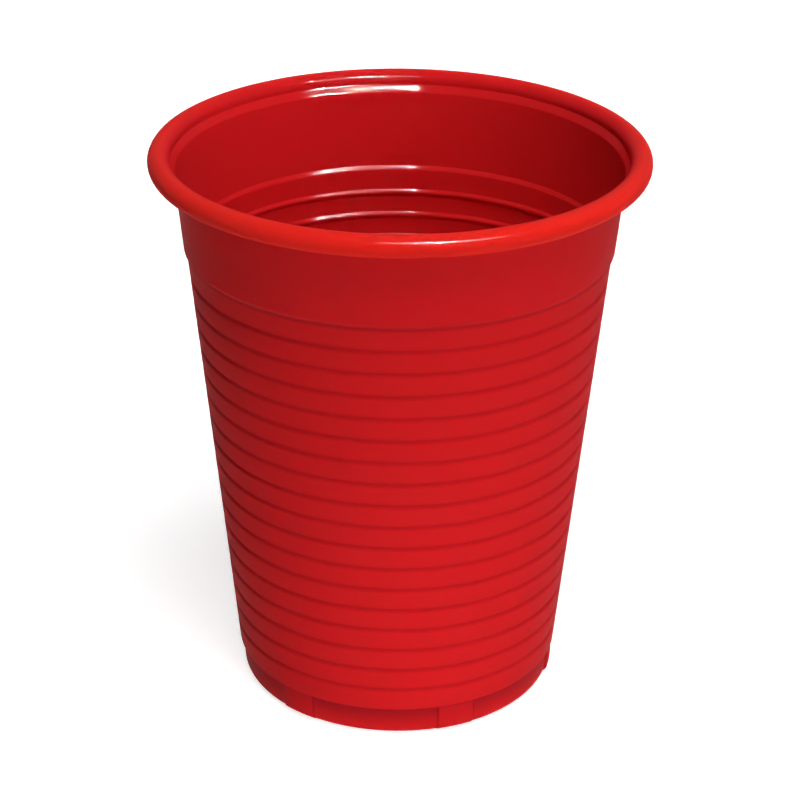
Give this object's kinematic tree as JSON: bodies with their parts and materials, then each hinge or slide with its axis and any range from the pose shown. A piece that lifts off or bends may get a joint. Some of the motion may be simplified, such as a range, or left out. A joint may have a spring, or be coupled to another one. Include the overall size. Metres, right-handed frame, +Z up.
{
  "type": "mouth rinse cup",
  "caption": "Small tapered drinking cup of thin formed plastic with a rolled rim, a wall of narrow ring grooves and a foot with stacking lugs.",
  "frame": {"origin": "centre of the plane that the foot ring stands on", "axes": "+Z up along the cup's axis, from the foot to the rim; -Y towards the picture's camera"},
  "size_m": [0.0702, 0.0702, 0.082],
  "materials": {
    "cup": "glossy, slightly translucent red"
  },
  "bodies": {
    "root": {"cup": "cup"}
  },
  "joints": []
}
